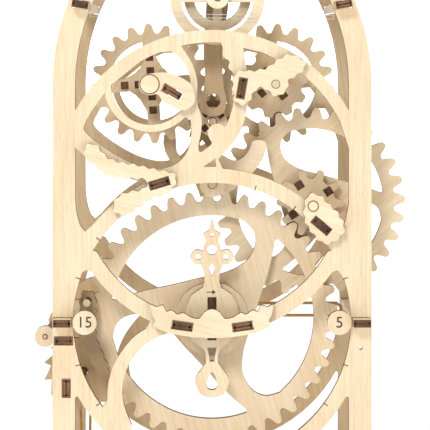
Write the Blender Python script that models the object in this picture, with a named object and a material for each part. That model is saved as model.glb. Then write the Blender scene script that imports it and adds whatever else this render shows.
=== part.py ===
"""Plywood timer tower: two skeleton plates, a gear train, hand, balance and ratchet.
Metres, +Z up, the front of the tower faces -Y."""
import math

import bpy
import numpy as np

MM = 0.001
PLY = 3.0
GAP = 0.3
ORIGIN_X = -3.6766
ORIGIN_Y = 2.75
PLATE_GAP = 60.0
HALF_WIDTH = 63.4
POST_INNER = 54.4
BASE_DROP = 80.0
DIAL_BORE = 55.2
DIAL_RING = 61.0
ARCH_LEVEL = 54.0
ARCH_OUTER = 62.0
ARCH_INNER = 57.0
SMILE_LEVEL = 53.0
SMILE_INNER = 52.3
SMILE_OUTER = 58.2
SPRING_LEVEL = 94.0
GOTHIC_RADIUS = 90.0
ROD = 1.5
ROD_CLEAR = 0.25
MESH_CLEAR = 0.3
FRONT = -(PLATE_GAP / 2 + PLY)
MAIN_AT = (0.0, 0.0)
SECOND_AT = (40.0, 46.2)
THIRD_AT = (25.2, 94.4)
FOURTH_AT = (-24.7, 94.4)
ESCAPE_AT = (0.25, 79.0)
ANCHOR_AT = (0.2, 54.0)
BALANCE_AT = (2.2, 129.0)
RATCHET_AT = (-52.5, -23.5)
KNOB_AT = (-67.0, -7.0)
PAWL_AT = (-50.0, 7.0)
MAIN_TEETH = 41
SECOND_TEETH = 30
THIRD_TEETH = 20
PINION_TEETH = 10
CENTRE_TEETH = 6
RATCHET_TEETH = 15
HAND_FACE = 5.0
DRUM_FACE = 8.5
MAIN_FACE = 14.5
SECOND_FACE = 18.5
THIRD_FACE = 22.5
DISC_FACE = 18.5
ANCHOR_FACE = 29.0
ANCHOR_FORK_FACE = 10.8
ESCAPE_FACE = 29.0
LEVER_FACE = 14.6
RING_FACE = 6.2
RATCHET_FACE = 24.0
PAWL_FACE = 9.0
KNOB_FACE = 8.0
RING_STEPS = 48

for old in list(bpy.data.objects):
    bpy.data.objects.remove(old, do_unlink=True)
parts = bpy.data.collections.new("timer_tower")
bpy.context.scene.collection.children.link(parts)


def material(name, colour):
    made = bpy.data.materials.new(name)
    made.use_nodes = True
    made.node_tree.nodes["Principled BSDF"].inputs["Base Color"].default_value = (*colour, 1)
    made.node_tree.nodes["Principled BSDF"].inputs["Roughness"].default_value = 0.6
    return made


BIRCH = material("birch_ply", (0.80, 0.66, 0.45))
THREAD = material("thread", (0.75, 0.74, 0.70))
RUBBER = material("rubber_band", (0.62, 0.36, 0.05))


def arc(centre, radius, start, end, steps=12):
    """Points on a circle from one angle to another, in degrees from +X."""
    turns = np.radians(np.linspace(start, end, steps))
    return [(centre[0] + radius * math.cos(t), centre[1] + radius * math.sin(t)) for t in turns]


def ring(centre, radius, steps=RING_STEPS):
    return arc(centre, radius, 0, 360 * (steps - 1) / steps, steps)


def smooth(points, steps=3):
    """A closed curve through the points (Catmull-Rom)."""
    found = []
    for i in range(len(points)):
        a, b, c, d = [np.array(points[(i + k) % len(points)], float) for k in (-1, 0, 1, 2)]
        for t in np.arange(steps) / steps:
            bend = (2 * a - 5 * b + 4 * c - d) * t * t + (3 * b - a - 3 * c + d) * t ** 3
            found.append(tuple(0.5 * (2 * b + (c - a) * t + bend)))
    return found


def soft(points, steps=3):
    """An open curve through the points, ends kept."""
    run = [points[0]] + points + [points[-1]]
    found = []
    for i in range(1, len(run) - 2):
        a, b, c, d = [np.array(run[i + k], float) for k in (-1, 0, 1, 2)]
        for t in np.arange(steps) / steps:
            bend = (2 * a - 5 * b + 4 * c - d) * t * t + (3 * b - a - 3 * c + d) * t ** 3
            found.append(tuple(0.5 * (2 * b + (c - a) * t + bend)))
    return found + [points[-1]]


def scalloped(points, depth=0.45, wave=4.2, step=1.05):
    """A smooth closed outline whose edge is cut in small waves."""
    fine = np.array(smooth(points, 12))
    ahead = np.roll(fine, -1, 0)
    lengths = np.hypot(*(ahead - fine).T)
    total = lengths.sum()
    places = np.concatenate([[0], np.cumsum(lengths)])
    loop = np.vstack([fine, fine[:1]])
    waves = round(total / wave)
    count = waves * round(wave / step)
    spots = np.arange(count) * total / count
    x, z = [np.interp(spots, places, loop[:, k]) for k in (0, 1)]
    along = np.roll(np.stack([x, z], 1), -1, 0) - np.roll(np.stack([x, z], 1), 1, 0)
    along /= np.hypot(*along.T)[:, None]
    push = depth * np.sin(2 * math.pi * waves * spots / total)
    return [(a - q * v, b + q * u) for a, b, (u, v), q in zip(x, z, along, push)]


def turned(points, centre, angle, size=1.0, flip=1):
    turn = math.radians(angle)
    moved = []
    for x, z in points:
        x, z = x * size, z * size * flip
        moved.append((centre[0] + x * math.cos(turn) - z * math.sin(turn),
                      centre[1] + x * math.sin(turn) + z * math.cos(turn)))
    return moved


def box(centre, width, height, angle=0.0):
    turn = math.radians(angle)
    corners = [(-width, -height), (width, -height), (width, height), (-width, height)]
    made = []
    for x, z in corners:
        across = (x * math.cos(turn) - z * math.sin(turn)) / 2
        up = (x * math.sin(turn) + z * math.cos(turn)) / 2
        made.append((centre[0] + across, centre[1] + up))
    return made


def plate(name, outlines, face, thick=PLY, look=None, pivot=(0.0, 0.0)):
    """A flat piece: the first outline is its edge and the rest are its holes."""
    curve = bpy.data.curves.new(name, "CURVE")
    curve.dimensions = "2D"
    curve.fill_mode = "BOTH"
    curve.extrude = thick * MM / 2
    for outline in outlines:
        spline = curve.splines.new("POLY")
        spline.points.add(len(outline) - 1)
        for point, (x, z) in zip(spline.points, outline):
            point.co = ((x - pivot[0]) * MM, (z - pivot[1]) * MM, 0, 1)
        spline.use_cyclic_u = True
    curve.materials.append(look or BIRCH)
    made = bpy.data.objects.new(name, curve)
    made.rotation_euler = (math.pi / 2, 0, 0)
    middle = FRONT + face + thick / 2 + ORIGIN_Y
    made.location = ((pivot[0] + ORIGIN_X) * MM, middle * MM, (pivot[1] + BASE_DROP) * MM)
    parts.objects.link(made)
    return made


def rod(name, at, start, end, radius=ROD, steps=24):
    return plate(name, [ring(at, radius, steps)], start, end - start, pivot=at)


def tooth_radius(angle, teeth, root, tip):
    """Radius of a wheel with rounded teeth, a tooth at angle zero."""
    wave = np.cos(angle * teeth)
    return (root + tip) / 2 + (tip - root) / 2 * np.tanh(1.6 * wave) / math.tanh(1.6)


def wheel_rim(centre, teeth, root, tip, phase, per_tooth=10):
    turns = np.arange(teeth * per_tooth) / (teeth * per_tooth) * 2 * math.pi
    radii = tooth_radius(turns - phase, teeth, root, tip)
    return [(centre[0] + r * math.cos(t), centre[1] + r * math.sin(t)) for r, t in zip(radii, turns)]


def pinion_rim(centre, teeth, tip, wheel_at, wheel_teeth, root_w, tip_w, phase_w, per_tooth=14):
    """The pinion's outline is whatever a wheel rolling past it leaves standing."""
    turns = np.arange(teeth * per_tooth) / (teeth * per_tooth) * 2 * math.pi
    radii = np.full(len(turns), tip)
    steps = np.linspace(-1.5, 1.5, 181) * 2 * math.pi / wheel_teeth
    samples = np.linspace(tip * 0.25, tip, 120)
    for step in steps:
        roll = -step * wheel_teeth / teeth
        x = centre[0] + samples[None, :] * np.cos(turns + roll)[:, None] - wheel_at[0]
        z = centre[1] + samples[None, :] * np.sin(turns + roll)[:, None] - wheel_at[1]
        far = np.hypot(x, z)
        for nudge in (-MESH_CLEAR, 0.0, MESH_CLEAR):
            angle = np.arctan2(z, x) - phase_w - step + nudge / tip_w
            inside = far < tooth_radius(angle, wheel_teeth, root_w, tip_w) + MESH_CLEAR
            first = np.where(inside.any(1), samples[inside.argmax(1)], tip)
            radii = np.minimum(radii, first)
    sector = radii.reshape(teeth, per_tooth).min(0)
    radii = np.tile(sector, teeth)
    return [(centre[0] + r * math.cos(t), centre[1] + r * math.sin(t)) for r, t in zip(radii, turns)]


SCROLL_RIM = 41.2
SCROLL_EDGE = [(25.4, 30.6), (24.4, 25), (22.6, 17.5), (19.4, 8), (16.2, -3), (13.2, -12), (12.2, -20)]
SCROLL_EDGE += [(13.6, -26), (17.4, -30.4), (22.2, -32), (27.6, -30.6)]


def scroll_windows(centre, inner, turn, flip=1):
    """Three openings with one round end and one pointed end, between broad scroll spokes."""
    shape = soft(SCROLL_EDGE, 3) + arc((0, 0), SCROLL_RIM, -40, 50, 20)
    size = inner / SCROLL_RIM
    return [turned(shape, centre, turn + 120 * k, size, flip) for k in range(3)]


def sector_windows(centre, inner, hub, start, arm):
    """Four openings between straight arms."""
    found = []
    for k in range(4):
        first = start + 90 * k
        rim = math.degrees(math.asin(arm / inner))
        root = math.degrees(math.asin(arm / hub))
        found.append(arc(centre, inner, first + rim, first + 90 - rim, 12)
                     + arc(centre, hub, first + 90 - root, first + root, 5))
    return found


KEYS = {
    "left_arm": ((-15.8, 91.2), -30),
    "right_arm": ((11.8, 92.8), 80),
    "ornament": ((-20.8, 55.2), 17),
    "side_arm": ((43.2, 38.4), -40),
    "hub_left": ((-11.8, -1.2), -8),
    "hub_right": ((12.2, -1.4), 8),
}
POST_KEYS = {"lock_key_post": ((-59.0, -7.6), 0), "lock_key_brace": ((-57.9, -26.4), 90)}
KEY_WIDTH = 8.0
POST_KEY_WIDTH = 7.0
STAYS = {
    "side_stay_left": ((-59.2, 0.0), 0, 7.0, 6.0),
    "side_stay_right": ((59.2, 0.0), 0, 7.0, 6.0),
    "top_stay_left": ((-52.0, 126.0), -10, 6.5, 6.0),
    "top_stay_right": ((52.0, 126.0), 10, 6.5, 6.0),
    "base_stay_left": ((-50.0, -71.0), 0, 9.0, 3.0),
    "base_stay_right": ((50.0, -71.0), 0, 9.0, 3.0),
}


def slot(centre, width, angle):
    return box(centre, width + 2 * GAP, PLY + 2 * GAP, angle)


def gothic(offset, floor):
    """One side of the pointed arch from its spring line up to near the ridge, left side."""
    radius = GOTHIC_RADIUS - offset
    middle = GOTHIC_RADIUS - HALF_WIDTH
    top = math.degrees(math.acos(middle / radius))
    return arc((middle, SPRING_LEVEL), radius, 180, 180 - top + floor, 16)


def mirrored(points):
    return [(-x, z) for x, z in reversed(points)]


def frame_windows():
    arch = (0.0, ARCH_LEVEL)
    smile = (0.0, SMILE_LEVEL)
    loop = (-24.3, 94.0)
    inner = gothic(9.0, 3)
    crown = [(-POST_INNER, 85.0)] + inner
    top = crown + mirrored(crown) + arc(arch, ARCH_OUTER, 29, 151, 24)
    bore = [p for p in ring(loop, 15.8, 56) if math.dist(p, arch) < ARCH_INNER - 0.2]
    split = max(range(len(bore)), key=lambda i: math.dist(bore[i], bore[i - 1]))
    bore = bore[split:] + bore[:split] + arc(arch, ARCH_INNER, 107, 124, 5)[1:-1]
    eye = arc(loop, 18.6, 190, 317, 16)
    eye += soft([(-8.6, 80.4), (-8.2, 75), (-9.4, 68.4), (-13.4, 63.2), (-20, 60.7), (-27, 61.4), (-35, 64.4),
                 (-44, 69.9), (-50, 75), (-50.8, 78), (-47.6, 84)])
    middle = arc(arch, ARCH_INNER, 102.5, 86.5, 6) 
    middle += soft([(4.4, 108.6), (4.3, 105.4), (7.0, 103.4), (6.4, 101), (8.6, 98.4), (9.4, 93), (8.8, 88),
                    (7.4, 82.6), (5.4, 77.8), (3.2, 78.6), (0.6, 78.4), (-1.6, 76), (-1.2, 73), (0.0, 70.8),
                    (-2.6, 68.6), (-4.8, 67.4), (-5.4, 70), (-4.4, 75), (-4.2, 81), (-6, 88), (-5.8, 95),
                    (-7.6, 102), (-11, 107.6)])
    wedge = [(-3.4, 61.6), (1.7, 61.6), (1.5, 65.2)]
    small = [(12.4, 108.8), (20, 107), (28, 103), (24, 100), (18.5, 97.3), (15.4, 96.8), (13.8, 100)]
    right = arc(arch, ARCH_INNER, 52, 27, 8) + [(POST_INNER, 69), (POST_INNER, 47), (53, 40), (51, 35.8)]
    right += arc(MAIN_AT, DIAL_RING, 38, 46, 4) + arc(SECOND_AT, 2.4, 315, 143, 8)
    right += arc(MAIN_AT, DIAL_RING, 52, 86, 10) 
    right += soft([(2.4, 64.6), (6.6, 69), (10.6, 74.4), (13, 80.4), (14.2, 86.4), (16.4, 91), (19.8, 92.6),
                   (22, 90.4), (25, 89.4), (28, 91), (28.4, 94.4), (32, 97)])
    side = [(-POST_INNER, 69.2), (-50, 65.5), (-42, 58.7), (-35, 57.5), (-28.2, 55.5), (-27.7, 54.5)]
    side += arc(MAIN_AT, DIAL_RING, 121, 141, 8)
    side += soft([(-50.4, 35.8), (-52.4, 38.4), (-53.8, 43.4), (-POST_INNER, 49)])
    lens = arc(MAIN_AT, DIAL_BORE, 31, 149, 30) + arc(smile, SMILE_INNER, 209, 331, 24)
    levers = arc(MAIN_AT, DIAL_BORE, 218, 159, 12) + [(-50, 20.5)] + arc(smile, SMILE_OUTER, 215, 245, 8)
    levers += soft([(-26, -2.6), (-31, -6), (-36, -12), (-39.6, -18.6), (-41.2, -25), (-41.6, -31)])
    lower = soft([(-17, -4.3), (-24, -7.4), (-30, -12.6), (-34, -19), (-35.6, -26), (-35, -33), (-32, -41)])
    lower += arc(MAIN_AT, DIAL_BORE, 234, 378, 40) + [(50, 20.5)] + arc(smile, SMILE_OUTER, 325, 287, 10)
    lower += [(14, -4.6)]
    foot = arc(MAIN_AT, DIAL_RING, 209, 249, 10) + [(-26, -66), (-50, -64), (-POST_INNER, -60)]
    foot += [(-POST_INNER, -30)]
    return [top, bore, eye, middle, wedge, small, right, side, lens, levers, lower, foot, mirrored(foot)]


def frame_outline():
    edge = [(-HALF_WIDTH - 4, -80), (-HALF_WIDTH - 4, -74), (-HALF_WIDTH, -66)] + gothic(0.0, 1)
    cut = [(40, -80), (34, -75), (-34, -75), (-40, -80)]
    return edge + mirrored(edge) + cut


for name, face in (("front_plate", 0.0), ("back_plate", PLATE_GAP + PLY)):
    openings = frame_windows()
    for centre, angle, width, _ in STAYS.values():
        openings.append(slot(centre, width, angle))
    if face == 0:
        openings += [slot(c, KEY_WIDTH, a) for k, (c, a) in KEYS.items() if k != "left_arm"]
        openings.append(ring((59.0, -10.4), 0.8, 12))
        openings.append(ring(THIRD_AT, ROD + ROD_CLEAR, 20))
        openings += [slot(c, POST_KEY_WIDTH, a) for c, a in POST_KEYS.values()]
    plate(name, [frame_outline()] + openings, face)

for name, (centre, angle, width, nose) in STAYS.items():
    plate(name, [box(centre, width, PLY, angle)], -nose, 2 * PLY + PLATE_GAP + nose + 0.5)

ARM_FACE = -(PLY + GAP)


def arm(name, outline, key_names, bores):
    holes = [slot(KEYS[k][0], KEY_WIDTH, KEYS[k][1]) for k in key_names]
    holes += [ring(c, ROD + ROD_CLEAR, 20) for c in bores]
    plate(name, [outline] + holes, ARM_FACE)


left = [(-24.7, 98.6), (-28, 97.2), (-29, 94.4), (-28, 91.4), (-24.7, 90), (-21.5, 90.4), (-19, 87.4)]
left += [(-12.5, 84.2), (-9.2, 84.8), (-6.6, 88), (-8, 94), (-13, 97.4), (-18, 99)]
arm("left_bearing_arm", smooth(left), ["left_arm"], [FOURTH_AT])
right_arm = [(25.2, 89.8), (29.4, 92), (30.4, 96), (35, 99), (37, 103), (31, 106), (26, 104), (22, 101)]
right_arm += [(16, 99.6), (11.4, 99.6), (8.4, 97), (8.6, 89), (11, 86.4), (14.4, 87.4), (17, 92), (20.4, 93)]
arm("right_bearing_arm", scalloped(right_arm), ["right_arm"], [THIRD_AT])
side_arm = [(36.4, 43), (38, 50.4), (42.4, 50.4), (46, 47), (50, 43), (52.4, 37), (49, 32.6), (44, 31.6)]
side_arm += [(38.6, 37)]
arm("side_bearing_arm", scalloped(side_arm), ["side_arm"], [SECOND_AT])
ornament = [(-50, 70), (-46, 70.4), (-42, 66), (-38, 64), (-30, 62.4), (-22, 60.6), (-15, 59), (-14.6, 55)]
ornament += [(-18, 51), (-24, 49), (-29, 45.6), (-34, 42.6), (-38.6, 44), (-38, 49), (-33.6, 51.6)]
ornament += [(-27, 53), (-26, 56.6), (-33, 57.2), (-41, 58), (-46, 62), (-50, 65)]
arm("left_ornament", scalloped(ornament), ["ornament"], [])
half = [(0, 5.4), (3.0, 4.2), (5.0, 1.6), (8.6, 2.2), (11.4, 4.0), (13.6, 3.2), (16.0, 5.0), (18.2, 4.4)]
half += [(19.4, 7.0), (22.0, 6.2), (24.2, 7.2), (23.6, 3.2), (22.4, 1.0), (23.0, -1.4), (19.6, -3.0)]
half += [(16.6, -4.2), (8.0, -5.6), (0, -6.0)]
bridge = half + [(-x, z) for x, z in reversed(half[1:-1])]
arm("hub_bridge", smooth(bridge, 2), ["hub_left", "hub_right"], [])
for name, (centre, angle) in KEYS.items():
    plate("lock_key_" + name, [box(centre, KEY_WIDTH, PLY, angle)], ARM_FACE - 0.5, 2 * PLY + GAP + 1.5)


for name, (centre, angle) in POST_KEYS.items():
    plate(name, [box(centre, POST_KEY_WIDTH, PLY, angle)], -0.5, PLY + 2.0)


def pad(name, centre, radius=5.0):
    plate(name, [ring(centre, radius, 28)], ARM_FACE)


pad("dial_pad_15", (-50.4, 0.0), 4.8)
pad("dial_pad_5", (50.4, 0.0), 4.8)

BACK_FACE = PLATE_GAP + PLY
ROD_END = BACK_FACE - GAP
WINDER_END = ROD_END - PLY - GAP


def toothed(name, centre, teeth, root, tip, face, phase, windows):
    outlines = [wheel_rim(centre, teeth, root, tip, phase)] + windows + [ring(centre, ROD + GAP, 20)]
    plate(name, outlines, face, pivot=centre)


def aim(start, end):
    return math.atan2(end[1] - start[1], end[0] - start[0])


MAIN_ROOT, MAIN_TIP = 46.6, 51.0
SECOND_ROOT, SECOND_TIP = 34.2, 38.6
THIRD_ROOT, THIRD_TIP = 20.6, 24.6
MAIN_PHASE = math.radians(92.0)
SECOND_PHASE = math.radians(14.0)

toothed("main_wheel", MAIN_AT, MAIN_TEETH, MAIN_ROOT, MAIN_TIP, MAIN_FACE, MAIN_PHASE,
        scroll_windows(MAIN_AT, 41.2, 0))
toothed("second_wheel", SECOND_AT, SECOND_TEETH, SECOND_ROOT, SECOND_TIP, SECOND_FACE, SECOND_PHASE,
        scroll_windows(SECOND_AT, 30.0, 58, -1))
LEAF = 2 * math.pi / CENTRE_TEETH
THIRD_PHASE = aim(THIRD_AT, ESCAPE_AT)
LATE = math.remainder(aim(ESCAPE_AT, THIRD_AT) - aim(ESCAPE_AT, FOURTH_AT), LEAF)
FOURTH_PHASE = aim(FOURTH_AT, ESCAPE_AT) - LATE * CENTRE_TEETH / THIRD_TEETH
UPPER = (("third_wheel", THIRD_AT, THIRD_PHASE), ("fourth_wheel", FOURTH_AT, FOURTH_PHASE))
for name, centre, phase in UPPER:
    arms = sector_windows(centre, 17.4, 8.0, 4, 2.6)
    toothed(name, centre, THIRD_TEETH, THIRD_ROOT, THIRD_TIP, THIRD_FACE, phase, arms)


def pinion(name, centre, teeth, tip, face, wheel_at, wheel_teeth, root_w, tip_w, phase_w):
    rim = pinion_rim(centre, teeth, tip, wheel_at, wheel_teeth, root_w, tip_w, phase_w)
    plate(name, [rim, ring(centre, ROD + GAP, 20)], face, pivot=centre)


PINION_TIP_MAIN = 13.6
PINION_TIP_SECOND = 14.0
PINION_TIP_CENTRE = 8.3
pinion("second_pinion", SECOND_AT, PINION_TEETH, PINION_TIP_MAIN, MAIN_FACE, MAIN_AT, MAIN_TEETH,
       MAIN_ROOT, MAIN_TIP, MAIN_PHASE)
pinion("third_pinion", THIRD_AT, PINION_TEETH, PINION_TIP_SECOND, SECOND_FACE, SECOND_AT, SECOND_TEETH,
       SECOND_ROOT, SECOND_TIP, SECOND_PHASE)
pinion("escape_pinion", ESCAPE_AT, CENTRE_TEETH, PINION_TIP_CENTRE, THIRD_FACE, THIRD_AT, THIRD_TEETH,
       THIRD_ROOT, THIRD_TIP, THIRD_PHASE)


def saw(centre, teeth, root, tip, start=0.0):
    found = []
    for i in range(teeth):
        for share, radius in ((0.0, tip), (0.08, root), (0.5, root + (tip - root) * 0.3)):
            angle = start + (i + share) * 2 * math.pi / teeth
            found.append((centre[0] + radius * math.cos(angle), centre[1] + radius * math.sin(angle)))
    return found


bore = ROD + GAP
plate("escape_wheel", [saw(ESCAPE_AT, RATCHET_TEETH, 9.0, 12.0), ring(ESCAPE_AT, bore, 20)],
      ESCAPE_FACE, pivot=ESCAPE_AT)
plate("escape_disc", [ring(ESCAPE_AT, 6.0), ring(ESCAPE_AT, bore, 20)], DISC_FACE, pivot=ESCAPE_AT)
plate("fourth_hub", [smooth([(FOURTH_AT[0] + r * math.cos(a), FOURTH_AT[1] + r * math.sin(a))
      for a, r in zip(np.arange(16) * math.pi / 8, (13.0, 9.0, 7.6, 9.0) * 4)]),
      ring(FOURTH_AT, bore, 20)], DISC_FACE, pivot=FOURTH_AT)

HAND = [(0, 40.6), (1.2, 36), (3.6, 34.4), (2.2, 32), (3.4, 29), (3.8, 27.6), (6.6, 28.2), (8.8, 25.2)]
HAND += [(6.6, 22.4), (4.4, 22.2), (3.0, 18), (3.6, 13), (8.0, 10.2), (10.8, 3), (10.4, -4), (6.4, -9.4)]
HAND += [(3.0, -12), (2.4, -17), (5.6, -21.4), (6.8, -25), (4.6, -29.6), (0, -31)]
tear = smooth([(0, -20.6), (2.0, -24.4), (1.6, -27.6), (-1.6, -27.6), (-2.0, -24.4)])
drop = [(0, 22.8), (1.4, 20.6), (0, 17.4), (-1.4, 20.6)]
holes = [tear, drop, ring((0, 28), 2.0, 20), ring((5.6, 25.2), 1.2, 12), ring((-5.6, 25.2), 1.2, 12)]
holes += [ring(MAIN_AT, bore, 20), ring((0, 34), 0.8, 12)]
holes.append([(-1.8, -11), (1.8, -11), (0.8, -16.6), (-0.8, -16.6)])
outline = HAND + [(-x, z) for x, z in reversed(HAND[1:-1])]
plate("hand", [smooth(outline, 2)] + holes, HAND_FACE, pivot=MAIN_AT)
for name, face, radius in (("drum_front", DRUM_FACE, 14.8), ("drum_core", DRUM_FACE + PLY, 11.6)):
    thick = PLY if name == "drum_front" else MAIN_FACE - DRUM_FACE - PLY - GAP
    face = face if name == "drum_front" else face + GAP / 2
    plate(name, [ring(MAIN_AT, radius), ring(MAIN_AT, bore, 20)], face, thick - GAP / 2, pivot=MAIN_AT)

rod("main_arbor", MAIN_AT, HAND_FACE - 1.5, ROD_END)
for name, at in (("second_arbor", SECOND_AT), ("third_arbor", THIRD_AT), ("fourth_arbor", FOURTH_AT)):
    rod(name, at, ARM_FACE - 0.5, -1.0 + ROD_END + 1.0)
rod("escape_arbor", ESCAPE_AT, DISC_FACE - 3, ROD_END)

BALANCE_HOLE = 8.0
for name, face, outer, inner in (("balance_ring_front", RING_FACE, 19.0, 14.6),
                                 ("balance_ring_back", RING_FACE + PLY + GAP, 13.4, 9.4)):
    spoke = box(BALANCE_AT, 2 * inner + 2, 3.2, 90 if name.endswith("back") else 0)
    halves = []
    for side in (1, -1):
        bar = math.degrees(math.asin(1.8 / inner))
        turn = -90 if name.endswith("back") else 0
        first = arc(BALANCE_AT, inner, bar + turn, 180 - bar + turn, 16)
        if side < 0:
            first = arc(BALANCE_AT, inner, 180 + bar + turn, 360 - bar + turn, 16)
        halves.append(first)
    plates = [ring(BALANCE_AT, outer)]
    plate(name, plates + [h[:] for h in halves], face, pivot=BALANCE_AT)
plate("balance_cap", [ring(BALANCE_AT, 4.6, 28)], RING_FACE - PLY - GAP, pivot=BALANCE_AT)
x, z = BALANCE_AT
lever = [(x - 4, z), (x - 4.6, z - 5), (-3.2, 112), (-3.4, 106), (-2.8, 98), (-3.4, 92), (-5.4, 87.4)]
lever += [(-3.8, 82.6), (0.6, 81.2), (4.8, 82.6), (6.0, 87.4), (5.0, 92), (4.4, 98), (4.2, 106), (4.4, 112)]
lever += [(x + 4.2, z - 5), (x + 4, z), (x, z + 4)]
plate("balance_lever", [smooth(lever, 2), ring((0.5, 87.4), 2.9, 24)], LEVER_FACE, pivot=BALANCE_AT)
rod("balance_arbor", BALANCE_AT, RING_FACE + 2 * (PLY + GAP), LEVER_FACE - GAP)

cx, cz = ANCHOR_AT
anchor = [(cx - 5, cz - 6.4), (cx - 2.4, cz - 5), (cx, cz - 3.6), (cx + 2.4, cz - 5), (cx + 5, cz - 6.4)]
anchor += [(cx + 7, cz - 1), (cx + 14, cz + 4), (cx + 19.4, cz + 12), (cx + 20, cz + 19), (cx + 16, cz + 21)]
anchor += [(cx + 15, cz + 17), (cx + 14.6, cz + 12), (cx + 10, cz + 8), (cx, cz + 6.4), (cx - 10, cz + 8)]
anchor += [(cx - 14.6, cz + 12), (cx - 15, cz + 17), (cx - 16, cz + 21), (cx - 20, cz + 19)]
anchor += [(cx - 19.4, cz + 12), (cx - 14, cz + 4), (cx - 7, cz - 1)]
plate("anchor", [smooth(anchor, 2), ring(ANCHOR_AT, bore, 20)], ANCHOR_FACE, pivot=ANCHOR_AT)
rod("anchor_arbor", ANCHOR_AT, 6.0, ROD_END)
plate("anchor_washer", [ring(ANCHOR_AT, 5.0, 32), ring(ANCHOR_AT, bore, 20)], 7.2, pivot=ANCHOR_AT)
fork = [(-3.2, 58), (-2.4, 64), (2.8, 66.2), (8.6, 63.4), (12.8, 65), (15.2, 68.4), (16.4, 71.4), (20.6, 71.6)]
fork += [(22, 69.4), (20.6, 64.6), (17.6, 60), (12, 54.4), (4.4, 49.6), (-3.2, 50.4)]
plate("anchor_fork", [smooth(fork, 3), ring(ANCHOR_AT, bore, 20)], ANCHOR_FORK_FACE, pivot=ANCHOR_AT)

plate("ratchet_wheel", [saw(RATCHET_AT, RATCHET_TEETH, 13.6, 16.6), ring(RATCHET_AT, bore, 20)],
      RATCHET_FACE, pivot=RATCHET_AT)
rod("ratchet_arbor", RATCHET_AT, 7.0, WINDER_END)
px, pz = PAWL_AT
pawl = [(px - 2.6, pz + 3), (px + 2.6, pz + 3), (px + 3.6, pz - 5), (px + 3.4, pz - 14), (px + 6, pz - 21)]
pawl += [(px + 8.6, pz - 28), (px + 6.4, pz - 32), (px + 2.4, pz - 26), (px - 1.4, pz - 18), (px - 3, pz - 8)]
plate("pawl", [scalloped(pawl, 0.35), ring(PAWL_AT, bore, 16)], PAWL_FACE, pivot=PAWL_AT)
rod("pawl_pin", PAWL_AT, PLY + GAP, PAWL_FACE + PLY)
plate("knob", [ring(KNOB_AT, 4.2, 28)], KNOB_FACE, pivot=KNOB_AT)
rod("knob_arbor", KNOB_AT, KNOB_FACE + PLY + GAP, WINDER_END)
carrier = [(-67.4, -2), (-65.6, 3.4), (-60, 6.4), (-52, 11), (-46, 8), (-45, 0), (-45, -14), (-47, -28), (-56, -29), (-61, -22)]
carrier += [(-68, -11), (-70, -7)]
side = slot(*[STAYS["side_stay_left"][i] for i in (0, 2, 1)])
plate("winder_carrier", [smooth(carrier, 2), side], WINDER_END + GAP)


def band(name, stops, depth, radius, look):
    """A round cord pulled straight through its stops, welded into one closed tube."""
    curve = bpy.data.curves.new(name, "CURVE")
    curve.dimensions = "3D"
    curve.bevel_depth = radius * MM
    curve.bevel_resolution = 1
    spline = curve.splines.new("POLY")
    spline.points.add(len(stops) - 1)
    for point, (x, z) in zip(spline.points, stops):
        point.co = ((x + ORIGIN_X) * MM, (FRONT + depth + ORIGIN_Y) * MM, (z + BASE_DROP) * MM, 1)
    spline.use_cyclic_u = True
    curve.materials.append(look)
    made = bpy.data.objects.new(name, curve)
    parts.objects.link(made)


THREAD_RADIUS = 0.22
BAND_RADIUS = 0.7
THREAD_LEVEL = 122.6
band("tension_thread", [(-48.5, THREAD_LEVEL), (48.5, THREAD_LEVEL - 0.8), (48.5, THREAD_LEVEL - 2.2),
                        (-48.5, THREAD_LEVEL - 1.4)], 3.0 + 1.0, THREAD_RADIUS, THREAD)
peg = (57.0, -1.6)
loop = arc(MAIN_AT, ROD + GAP + BAND_RADIUS, 270, 90, 8)
band("drive_band", loop + [(52.0, 2.6), (54.0, 1.0), (54.0, -1.0), (52.0, -2.6)], 40.0, BAND_RADIUS, RUBBER)
loop = arc(RATCHET_AT, ROD + GAP + BAND_RADIUS, 0, 180, 8)
band("winder_band", loop + [(-53.4, -64.0), (-50.6, -64.0)], 32.0, BAND_RADIUS, RUBBER)
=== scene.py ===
import math

import bmesh
import bpy
from mathutils import Matrix, Vector


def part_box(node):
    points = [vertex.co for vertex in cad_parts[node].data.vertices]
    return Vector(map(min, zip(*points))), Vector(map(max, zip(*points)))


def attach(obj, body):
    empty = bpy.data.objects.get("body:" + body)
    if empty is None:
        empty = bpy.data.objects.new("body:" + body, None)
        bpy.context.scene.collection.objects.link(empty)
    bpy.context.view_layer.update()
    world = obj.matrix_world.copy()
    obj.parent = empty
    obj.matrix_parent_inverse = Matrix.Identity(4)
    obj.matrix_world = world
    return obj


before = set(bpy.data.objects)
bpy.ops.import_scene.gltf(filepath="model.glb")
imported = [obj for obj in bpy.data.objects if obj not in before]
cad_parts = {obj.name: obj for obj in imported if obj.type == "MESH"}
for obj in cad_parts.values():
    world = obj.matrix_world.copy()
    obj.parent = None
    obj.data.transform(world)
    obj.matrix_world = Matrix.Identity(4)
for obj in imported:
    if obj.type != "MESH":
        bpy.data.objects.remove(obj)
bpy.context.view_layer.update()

FRONT_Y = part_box("front_plate")[0][1]
DIAL = Vector(((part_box("drum_front")[0][0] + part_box("drum_front")[1][0]) / 2, 0,
               (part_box("drum_front")[0][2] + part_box("drum_front")[1][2]) / 2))
PROUD = 0.00006         # how far engraved and burnt marks stand off the veneer
BURN_WIDTH = 0.0002     # chamfer that carries the laser's brown line
SHARP_EDGE = math.radians(50)
SCORED = 0.0002         # thickness of ticks and arrow


def middle(node):
    low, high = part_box(node)
    return Vector([(a + b) / 2 for a, b in zip(low, high)])


# Materials

def node_tree(name):
    made = bpy.data.materials.new(name)
    made.use_nodes = True
    return made, made.node_tree.nodes, made.node_tree.links


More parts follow.
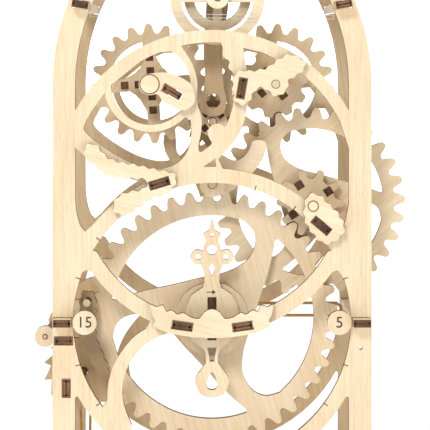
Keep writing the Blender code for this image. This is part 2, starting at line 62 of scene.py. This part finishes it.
def noise(nodes, links, coords, scale, stretch, detail=6.0):
    mapping = nodes.new("ShaderNodeMapping")
    mapping.inputs["Scale"].default_value = stretch
    links.new(coords, mapping.inputs["Vector"])
    made = nodes.new("ShaderNodeTexNoise")
    made.inputs["Scale"].default_value = scale
    made.inputs["Detail"].default_value = detail
    links.new(mapping.outputs["Vector"], made.inputs["Vector"])
    return made.outputs["Fac"]


def ramp(nodes, links, value, stops):
    made = nodes.new("ShaderNodeValToRGB")
    while len(made.color_ramp.elements) < len(stops):
        made.color_ramp.elements.new(0.5)
    for element, (place, colour) in zip(made.color_ramp.elements, stops):
        element.position = place
        element.color = (*colour, 1)
    links.new(value, made.inputs["Fac"])
    return made.outputs["Color"]


def mix(nodes, links, factor, first, second, blend="MIX"):
    made = nodes.new("ShaderNodeMix")
    made.data_type = "RGBA"
    made.blend_type = blend
    if isinstance(factor, float):
        made.inputs["Factor"].default_value = factor
    else:
        links.new(factor, made.inputs["Factor"])
    links.new(first, made.inputs["A"])
    links.new(second, made.inputs["B"])
    return made.outputs["Result"]


def plywood(name, tone=1.0, warm=0.0, grain_turn=0.0, face_burnt=False):
    """Birch ply: fine fibres on the veneer, burnt brown layers on every laser-cut edge."""
    made, nodes, links = node_tree(name)
    shader = nodes["Principled BSDF"]
    coords = nodes.new("ShaderNodeTexCoord").outputs["Object"]
    turned = nodes.new("ShaderNodeMapping")
    turned.inputs["Rotation"].default_value = (0, grain_turn, 0)
    turned.inputs["Location"].default_value = (tone, warm, grain_turn)
    links.new(coords, turned.inputs["Vector"])
    base = turned.outputs["Vector"]
    clouds = noise(nodes, links, base, 45.0, (1.6, 1.0, 0.35), 3.0)
    fibres = noise(nodes, links, base, 900.0, (1.0, 1.0, 0.05), 8.0)
    pores = noise(nodes, links, base, 2600.0, (1.0, 1.0, 0.09), 2.0)
    # A lower tone and a higher warm darken and warm the veneer as painted shade for parts set deeper in
    # the tower. Small changes around 1.0 and 0.0 are the wood's own tone.
    pale = [c * tone for c in (0.905, 0.765 - 0.05 * warm, 0.545 - 0.09 * warm)]
    deep = [c * tone for c in (0.835, 0.655 - 0.05 * warm, 0.425 - 0.08 * warm)]
    veneer = ramp(nodes, links, clouds, [(0.30, pale), (0.72, deep)])
    streak = ramp(nodes, links, fibres, [(0.36, (0.86, 0.80, 0.72)), (0.58, (1.0, 1.0, 1.0))])
    flecks = ramp(nodes, links, pores, [(0.30, (0.80, 0.68, 0.55)), (0.40, (1.0, 1.0, 1.0))])
    veneer = mix(nodes, links, 0.55, veneer, streak, "MULTIPLY")
    veneer = mix(nodes, links, 0.45, veneer, flecks, "MULTIPLY")
    layers = noise(nodes, links, base, 1300.0, (0.05, 1.0, 0.05), 2.0)
    soot = noise(nodes, links, base, 260.0, (1.0, 1.0, 1.0), 4.0)
    burnt = ramp(nodes, links, layers, [(0.36, (0.07, 0.028, 0.01)), (0.62, (0.30, 0.15, 0.06))])
    sooty = ramp(nodes, links, soot, [(0.35, (0.55, 0.45, 0.38)), (0.65, (1.0, 1.0, 1.0))])
    burnt = mix(nodes, links, 0.7, burnt, sooty, "MULTIPLY")
    normal = nodes.new("ShaderNodeSeparateXYZ")
    links.new(nodes.new("ShaderNodeNewGeometry").outputs["Normal"], normal.inputs["Vector"])
    facing = nodes.new("ShaderNodeMath")
    facing.operation = "ABSOLUTE"
    links.new(normal.outputs["Y"], facing.inputs[0])
    edge = nodes.new("ShaderNodeMapRange")
    edge.inputs["From Min"].default_value = 0.93
    edge.inputs["From Max"].default_value = 0.80
    links.new(facing.outputs["Value"], edge.inputs["Value"])
    factor = edge.outputs["Result"]
    if face_burnt:
        swap = nodes.new("ShaderNodeMath")
        swap.operation = "SUBTRACT"
        swap.inputs[0].default_value = 1.0
        links.new(factor, swap.inputs[1])
        factor = swap.outputs["Value"]
    colour = mix(nodes, links, factor, veneer, burnt)
    links.new(colour, shader.inputs["Base Color"])
    rough = nodes.new("ShaderNodeMapRange")
    rough.inputs["To Min"].default_value = 0.52
    rough.inputs["To Max"].default_value = 0.72
    links.new(fibres, rough.inputs["Value"])
    links.new(rough.outputs["Result"], shader.inputs["Roughness"])
    bump = nodes.new("ShaderNodeBump")
    bump.inputs["Strength"].default_value = 0.18
    bump.inputs["Distance"].default_value = 0.0001
    links.new(fibres, bump.inputs["Height"])
    links.new(bump.outputs["Normal"], shader.inputs["Normal"])
    return made


def streaked(name, first, second, scale, stretch, roughness):
    made, nodes, links = node_tree(name)
    shader = nodes["Principled BSDF"]
    coords = nodes.new("ShaderNodeTexCoord").outputs["Object"]
    value = noise(nodes, links, coords, scale, stretch, 5.0)
    links.new(ramp(nodes, links, value, [(0.32, first), (0.68, second)]), shader.inputs["Base Color"])
    shader.inputs["Roughness"].default_value = roughness
    bump = nodes.new("ShaderNodeBump")
    bump.inputs["Strength"].default_value = 0.3
    bump.inputs["Distance"].default_value = 0.0001
    links.new(value, bump.inputs["Height"])
    links.new(bump.outputs["Normal"], shader.inputs["Normal"])
    return made


FACE = plywood("ply_front", 1.0)
ARMS = plywood("ply_arms", 1.02, -0.1, math.radians(75))
WHEEL = plywood("ply_wheel", 0.98, 0.05, math.radians(15))
# The four darker ply copies below are painted shade: the same birch veneer darkened and warmed step by
# step for parts set deeper behind the front plate.
PLY_FAINT_SHADE_PAINTED = plywood("ply_faint_painted_shade", 0.93, 0.15, math.radians(-50))
PLY_HALF_SHADE_PAINTED = plywood("ply_half_painted_shade", 0.80, 0.55, math.radians(-30))
PLY_SHADE_PAINTED = plywood("ply_painted_shade", 0.68, 1.0, math.radians(8))
PLY_DEEP_SHADE_PAINTED = plywood("ply_deep_painted_shade", 0.46, 1.5, math.radians(40))
PEG = plywood("ply_peg", 1.0, 0.1, 0.0, face_burnt=True)
BURNT = streaked("burnt", (0.035, 0.012, 0.006), (0.16, 0.06, 0.025), 900.0, (1.0, 1.0, 0.2), 0.75)
INK = streaked("engraving", (0.03, 0.02, 0.015), (0.10, 0.06, 0.04), 1500.0, (1, 1, 1), 0.8)
THREAD = streaked("thread_grey", (0.55, 0.54, 0.52), (0.80, 0.79, 0.76), 3000.0, (0.15, 1, 1), 0.6)
RUBBER = streaked("rubber_amber", (0.42, 0.22, 0.03), (0.58, 0.33, 0.06), 300.0, (0.3, 1, 1), 0.4)
RUBBER.node_tree.nodes["Principled BSDF"].inputs["Transmission Weight"].default_value = 0.15

# Parts take darker ply the deeper they sit: painted shade.
LOOKS = {
    WHEEL: ("main_wheel", "hand", "drum_front", "dial_pad_5", "dial_pad_15", "anchor_washer", "knob"),
    ARMS: ("hub_bridge", "left_bearing_arm", "right_bearing_arm", "side_bearing_arm", "left_ornament",
           "balance_cap", "balance_ring_front", "escape_disc", "anchor_fork"),
    PLY_FAINT_SHADE_PAINTED: ("second_wheel",),
    PLY_HALF_SHADE_PAINTED: ("third_wheel", "fourth_wheel", "fourth_hub", "balance_ring_back", "drum_core", "third_pinion",
          "second_pinion"),
    PLY_SHADE_PAINTED: ("back_plate", "winder_carrier", "ratchet_wheel", "balance_lever", "anchor"),
    PLY_DEEP_SHADE_PAINTED: ("escape_pinion", "escape_wheel", "pawl"),
    THREAD: ("tension_thread",),
    RUBBER: ("drive_band", "winder_band"),
}
LOOK_OF = {node: look for look, nodes in LOOKS.items() for node in nodes}


def dress(node, obj):
    look = LOOK_OF.get(node)
    if look is None:
        look = FACE
        if node.startswith("lock_key") or "stay" in node:
            look = PEG
        # Arbors and pins take the half-shade ply: painted shade.
        if node.endswith(("_arbor", "_pin")):
            look = PLY_HALF_SHADE_PAINTED
    obj.data.materials.clear()
    obj.data.materials.append(look)
    if look in (THREAD, RUBBER):
        return
    bevel = obj.modifiers.new("burnt_edge", "BEVEL")
    bevel.width = BURN_WIDTH
    bevel.segments = 1
    bevel.limit_method = "ANGLE"
    bevel.angle_limit = SHARP_EDGE


for node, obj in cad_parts.items():
    dress(node, obj)


# Engraved and added detail

def add(name, mesh, look, body):
    obj = bpy.data.objects.new(name, mesh)
    bpy.context.scene.collection.objects.link(obj)
    mesh.materials.append(look)
    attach(obj, body)
    return obj


def chip(builder, centre, width, height, angle, front, thick):
    """A thin block in the plane of the plates, its near face at front."""
    turn = Matrix.Rotation(-math.radians(angle), 4, "Y")
    size = Matrix.Diagonal((width, thick, height, 1))
    place = Matrix.Translation((centre[0], front + thick / 2, centre[1]))
    bmesh.ops.create_cube(builder, size=1.0, matrix=place @ turn @ size)


def chips(name, rows, look, body, front, thick):
    builder = bmesh.new()
    for centre, width, height, angle in rows:
        chip(builder, centre, width, height, angle, front, thick)
    mesh = bpy.data.meshes.new(name)
    builder.to_mesh(mesh)
    builder.free()
    return add(name, mesh, look, body)


TAB_SIDE = 0.0031
TAB_THICK = 0.0008


def around(at, radius, angle):
    """The x and z of a point at an angle in degrees about a centre."""
    turn = math.radians(angle)
    return at.x + radius * math.cos(turn), at.z + radius * math.sin(turn)


def hub_tabs(name, node, body, radii, turn, size=TAB_SIDE):
    """Burnt tab ends, four to a ring, where a hub's disc is pegged."""
    at = middle(node)
    rows = []
    for radius in radii:
        for k in range(4):
            angle = turn + 90 * k
            rows.append((around(at, radius, angle), size, size, angle))
    chips(name, rows, BURNT, body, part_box(node)[0][1] - PROUD, TAB_THICK)


KEY_WIDTH = 0.003


def spread(points, centre, way):
    """How far the points reach along a direction."""
    reach = [(p - centre).dot(way) for p in points]
    return max(reach) - min(reach)


def long_axis(node):
    """The angle of a key's longer side, in degrees from +X, and its length."""
    points = [v.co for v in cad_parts[node].data.vertices]
    centre = sum(points, Vector()) / len(points)
    corner = max(points, key=lambda p: (p.x - centre.x) ** 2 + (p.z - centre.z) ** 2)
    diagonal = 2 * math.hypot(corner.x - centre.x, corner.z - centre.z)
    widest = 0
    for angle in range(-90, 90):
        turn = math.radians(angle)
        reach = spread(points, centre, Vector((math.cos(turn), 0, math.sin(turn))))
        if reach > widest:
            widest, found = reach, angle
    lean = math.degrees(math.asin(min(1.0, KEY_WIDTH / diagonal)))
    sides = []
    for angle in (found + lean, found - lean):
        turn = math.radians(angle)
        across = spread(points, centre, Vector((-math.sin(turn), 0, math.cos(turn))))
        sides.append((across, angle))
    length = math.sqrt(max(diagonal ** 2 - KEY_WIDTH ** 2, 0))
    return min(sides, key=lambda side: side[0])[1], length


CORE_SHARE, CORE_HEIGHT = 0.94, 0.00075     # the charred middle ply
END_SHARE, END_HEIGHT = 0.10, 0.0023        # the burnt ends
END_PLACE = 0.40
LINE_SHARE, LINE_HEIGHT = 0.90, 0.00022     # the thin glue lines on either side
LINE_OFFSET = 0.0012
CHAR_THICK = 0.0004


def key_grain(node):
    """Charred core and ends of a locking key, as the laser leaves the middle ply."""
    angle, length = long_axis(node)
    at = middle(node)
    turn = math.radians(angle)
    rows = [((at.x, at.z), length * CORE_SHARE, CORE_HEIGHT, angle)]
    for side in (-1, 1):
        rows.append((around(at, side * length * END_PLACE, angle), length * END_SHARE, END_HEIGHT, angle))
        lift = side * LINE_OFFSET
        line = (at.x - lift * math.sin(turn), at.z + lift * math.cos(turn))
        rows.append((line, length * LINE_SHARE, LINE_HEIGHT, angle))
    chips(node + "_char", rows, BURNT, "frame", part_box(node)[0][1] - PROUD, CHAR_THICK)


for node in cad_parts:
    if node.startswith("lock_key") or "stay" in node:
        key_grain(node)

TICK_R = 0.0558
TICK_LONG, TICK_WIDE = 0.0022, 0.00035
TICKS = 20
ticks = []
for k in range(TICKS):
    angle = 90 + 360 / TICKS * k
    if k % 5:
        ticks.append((around(DIAL, TICK_R, angle), TICK_LONG, TICK_WIDE, angle))
chips("dial_ticks", ticks, INK, "frame", FRONT_Y - PROUD, SCORED)
hub_tabs("fourth_hub_tabs", "fourth_hub", "fourth_group", (0.0052, 0.0108), 4)
hub_tabs("third_tabs", "third_pinion", "third_group", (0.0058,), 38, 0.0034)
hub_tabs("second_tabs", "second_pinion", "second_group", (0.0085,), 33, 0.0034)
hub_tabs("escape_tabs", "escape_disc", "escape_group", (0.0042,), 40, 0.0026)
hand_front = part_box("hand")[0][1] - PROUD
HAND_TAB_R = 0.0066
chips("hand_tabs", [((DIAL.x, DIAL.z + HAND_TAB_R), 0.0036, 0.0052, 0),
                    ((DIAL.x, DIAL.z - HAND_TAB_R), 0.0036, 0.0030, 0)],
      BURNT, "main_group", hand_front, 0.0006)
ARROW_Z = DIAL.z + 0.0112
ARROW_LINE = 0.0003
arrow = [((DIAL.x - 0.0006, ARROW_Z), 0.0032, ARROW_LINE, 0)]
for k in range(4):
    arrow.append(((DIAL.x + 0.0012 - ARROW_LINE * k, ARROW_Z), ARROW_LINE, 0.0004 + 0.0004 * k, 0))
chips("hand_arrow", arrow, INK, "main_group", hand_front, SCORED)

NUMERAL_SIZE = 0.0062
NUMERAL_DEPTH = 0.00004
for text, node in (("15", "dial_pad_15"), ("5", "dial_pad_5")):
    curve = bpy.data.curves.new("numeral_" + text, "FONT")
    curve.body = text
    curve.size = NUMERAL_SIZE
    curve.align_x = "CENTER"
    curve.align_y = "CENTER"
    curve.extrude = NUMERAL_DEPTH
    curve.materials.append(INK)
    label = bpy.data.objects.new("numeral_" + text, curve)
    at = middle(node)
    label.location = (at.x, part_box(node)[0][1] - PROUD, at.z)
    label.rotation_euler = (math.pi / 2, 0, 0)
    bpy.context.scene.collection.objects.link(label)
    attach(label, "frame")


RIM = 0.0004
ROUND_STEPS = 40


def washer(name, node, body, radius, thick, proud, look):
    """A turned cap with a chamfered rim over an arbor's near end."""
    builder = bmesh.new()
    at = middle(node)
    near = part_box(node)[0][1] - proud
    rings = []
    for r, y in ((radius - RIM, 0.0), (radius, RIM), (radius, thick)):
        ring = []
        for k in range(ROUND_STEPS):
            x, z = around(at, r, 360 * k / ROUND_STEPS)
            ring.append(builder.verts.new((x, near + y, z)))
        rings.append(ring)
    for low, high in zip(rings, rings[1:]):
        for k in range(ROUND_STEPS):
            after = (k + 1) % ROUND_STEPS
            builder.faces.new((low[k], low[after], high[after], high[k]))
    builder.faces.new(rings[0][::-1])
    builder.faces.new(rings[-1])
    bmesh.ops.recalc_face_normals(builder, faces=builder.faces)
    mesh = bpy.data.meshes.new(name)
    builder.to_mesh(mesh)
    builder.free()
    return add(name, mesh, look, body)


washer("fourth_cap", "fourth_arbor", "fourth_group", 0.0040, 0.0006, 0.0002, ARMS)
# These pins take the half-shade ply: painted shade.
washer("balance_pin", "balance_cap", "balance_group", 0.0016, 0.0012, 0.0008, PLY_HALF_SHADE_PAINTED)
washer("knob_pin", "knob", "knob_group", 0.0011, 0.0012, 0.0008, PLY_HALF_SHADE_PAINTED)
washer("second_cap", "second_arbor", "second_group", 0.0022, 0.0006, 0.0002, ARMS)

# Studio

def stage_mesh(name, corners, look):
    mesh = bpy.data.meshes.new(name)
    faces = [tuple(range(4 * i, 4 * i + 4)) for i in range(len(corners) // 4)]
    mesh.from_pydata(corners, [], faces)
    mesh.materials.append(look)
    obj = bpy.data.objects.new(name, mesh)
    bpy.context.scene.collection.objects.link(obj)
    return obj


def glowing(name, tone, strength):
    made, nodes, _ = node_tree(name)
    shader = nodes["Principled BSDF"]
    shader.inputs["Base Color"].default_value = (tone, tone, tone, 1)
    shader.inputs["Emission Color"].default_value = (1, 1, 1, 1)
    shader.inputs["Emission Strength"].default_value = strength
    return made


SIDE = 3.0
FLOOR_Z = -0.0002
white = glowing("studio_white", 0.93, 0.45)
white.node_tree.nodes["Principled BSDF"].inputs["Roughness"].default_value = 0.9
stage_mesh("floor", [(-SIDE, -SIDE, FLOOR_Z), (SIDE, -SIDE, FLOOR_Z),
                     (SIDE, SIDE, FLOOR_Z), (-SIDE, SIDE, FLOOR_Z)], white)
stage_mesh("backdrop", [(-SIDE, SIDE, FLOOR_Z), (SIDE, SIDE, FLOOR_Z),
                        (SIDE, SIDE, SIDE), (-SIDE, SIDE, SIDE)], glowing("backdrop_white", 0.9, 1.0))

world = bpy.data.worlds.new("studio")
world.use_nodes = True
world.node_tree.nodes["Background"].inputs["Color"].default_value = (1, 1, 1, 1)
world.node_tree.nodes["Background"].inputs["Strength"].default_value = 0.45
bpy.context.scene.world = world


def area_light(name, place, target, size, power):
    light = bpy.data.lights.new(name, "AREA")
    light.shape = "DISK"
    light.size = size
    light.energy = power
    lamp = bpy.data.objects.new(name, light)
    lamp.location = place
    lamp.rotation_euler = (Vector(target) - Vector(place)).to_track_quat("-Z", "Y").to_euler()
    bpy.context.scene.collection.objects.link(lamp)


TOWER_MIDDLE = (0, 0, 0.13)
area_light("key", (-0.30, -0.85, 0.80), TOWER_MIDDLE, 0.30, 5.4)
area_light("fill", (0.75, -0.75, 0.30), TOWER_MIDDLE, 0.7, 1.2)

# Camera: level, near the tower's top, shifted down

REACH = 0.762
EYE_X, EYE_Z = -0.0012, 0.1012
PICTURE_WIDTH = 0.1708      # width seen at the front plate
SENSOR_WIDTH = 36.0
camera = bpy.data.cameras.new("camera")
camera.sensor_width = SENSOR_WIDTH
camera.lens = SENSOR_WIDTH * REACH / PICTURE_WIDTH
camera.shift_x = 0.0140
camera.shift_y = -0.3442
camera.clip_start = 0.01
viewer = bpy.data.objects.new("camera", camera)
viewer.location = (DIAL.x + EYE_X, FRONT_Y - REACH, DIAL.z + EYE_Z)
viewer.rotation_euler = (math.pi / 2, 0, 0)
bpy.context.scene.collection.objects.link(viewer)
bpy.context.scene.camera = viewer
bpy.context.scene.view_settings.view_transform = "Standard"
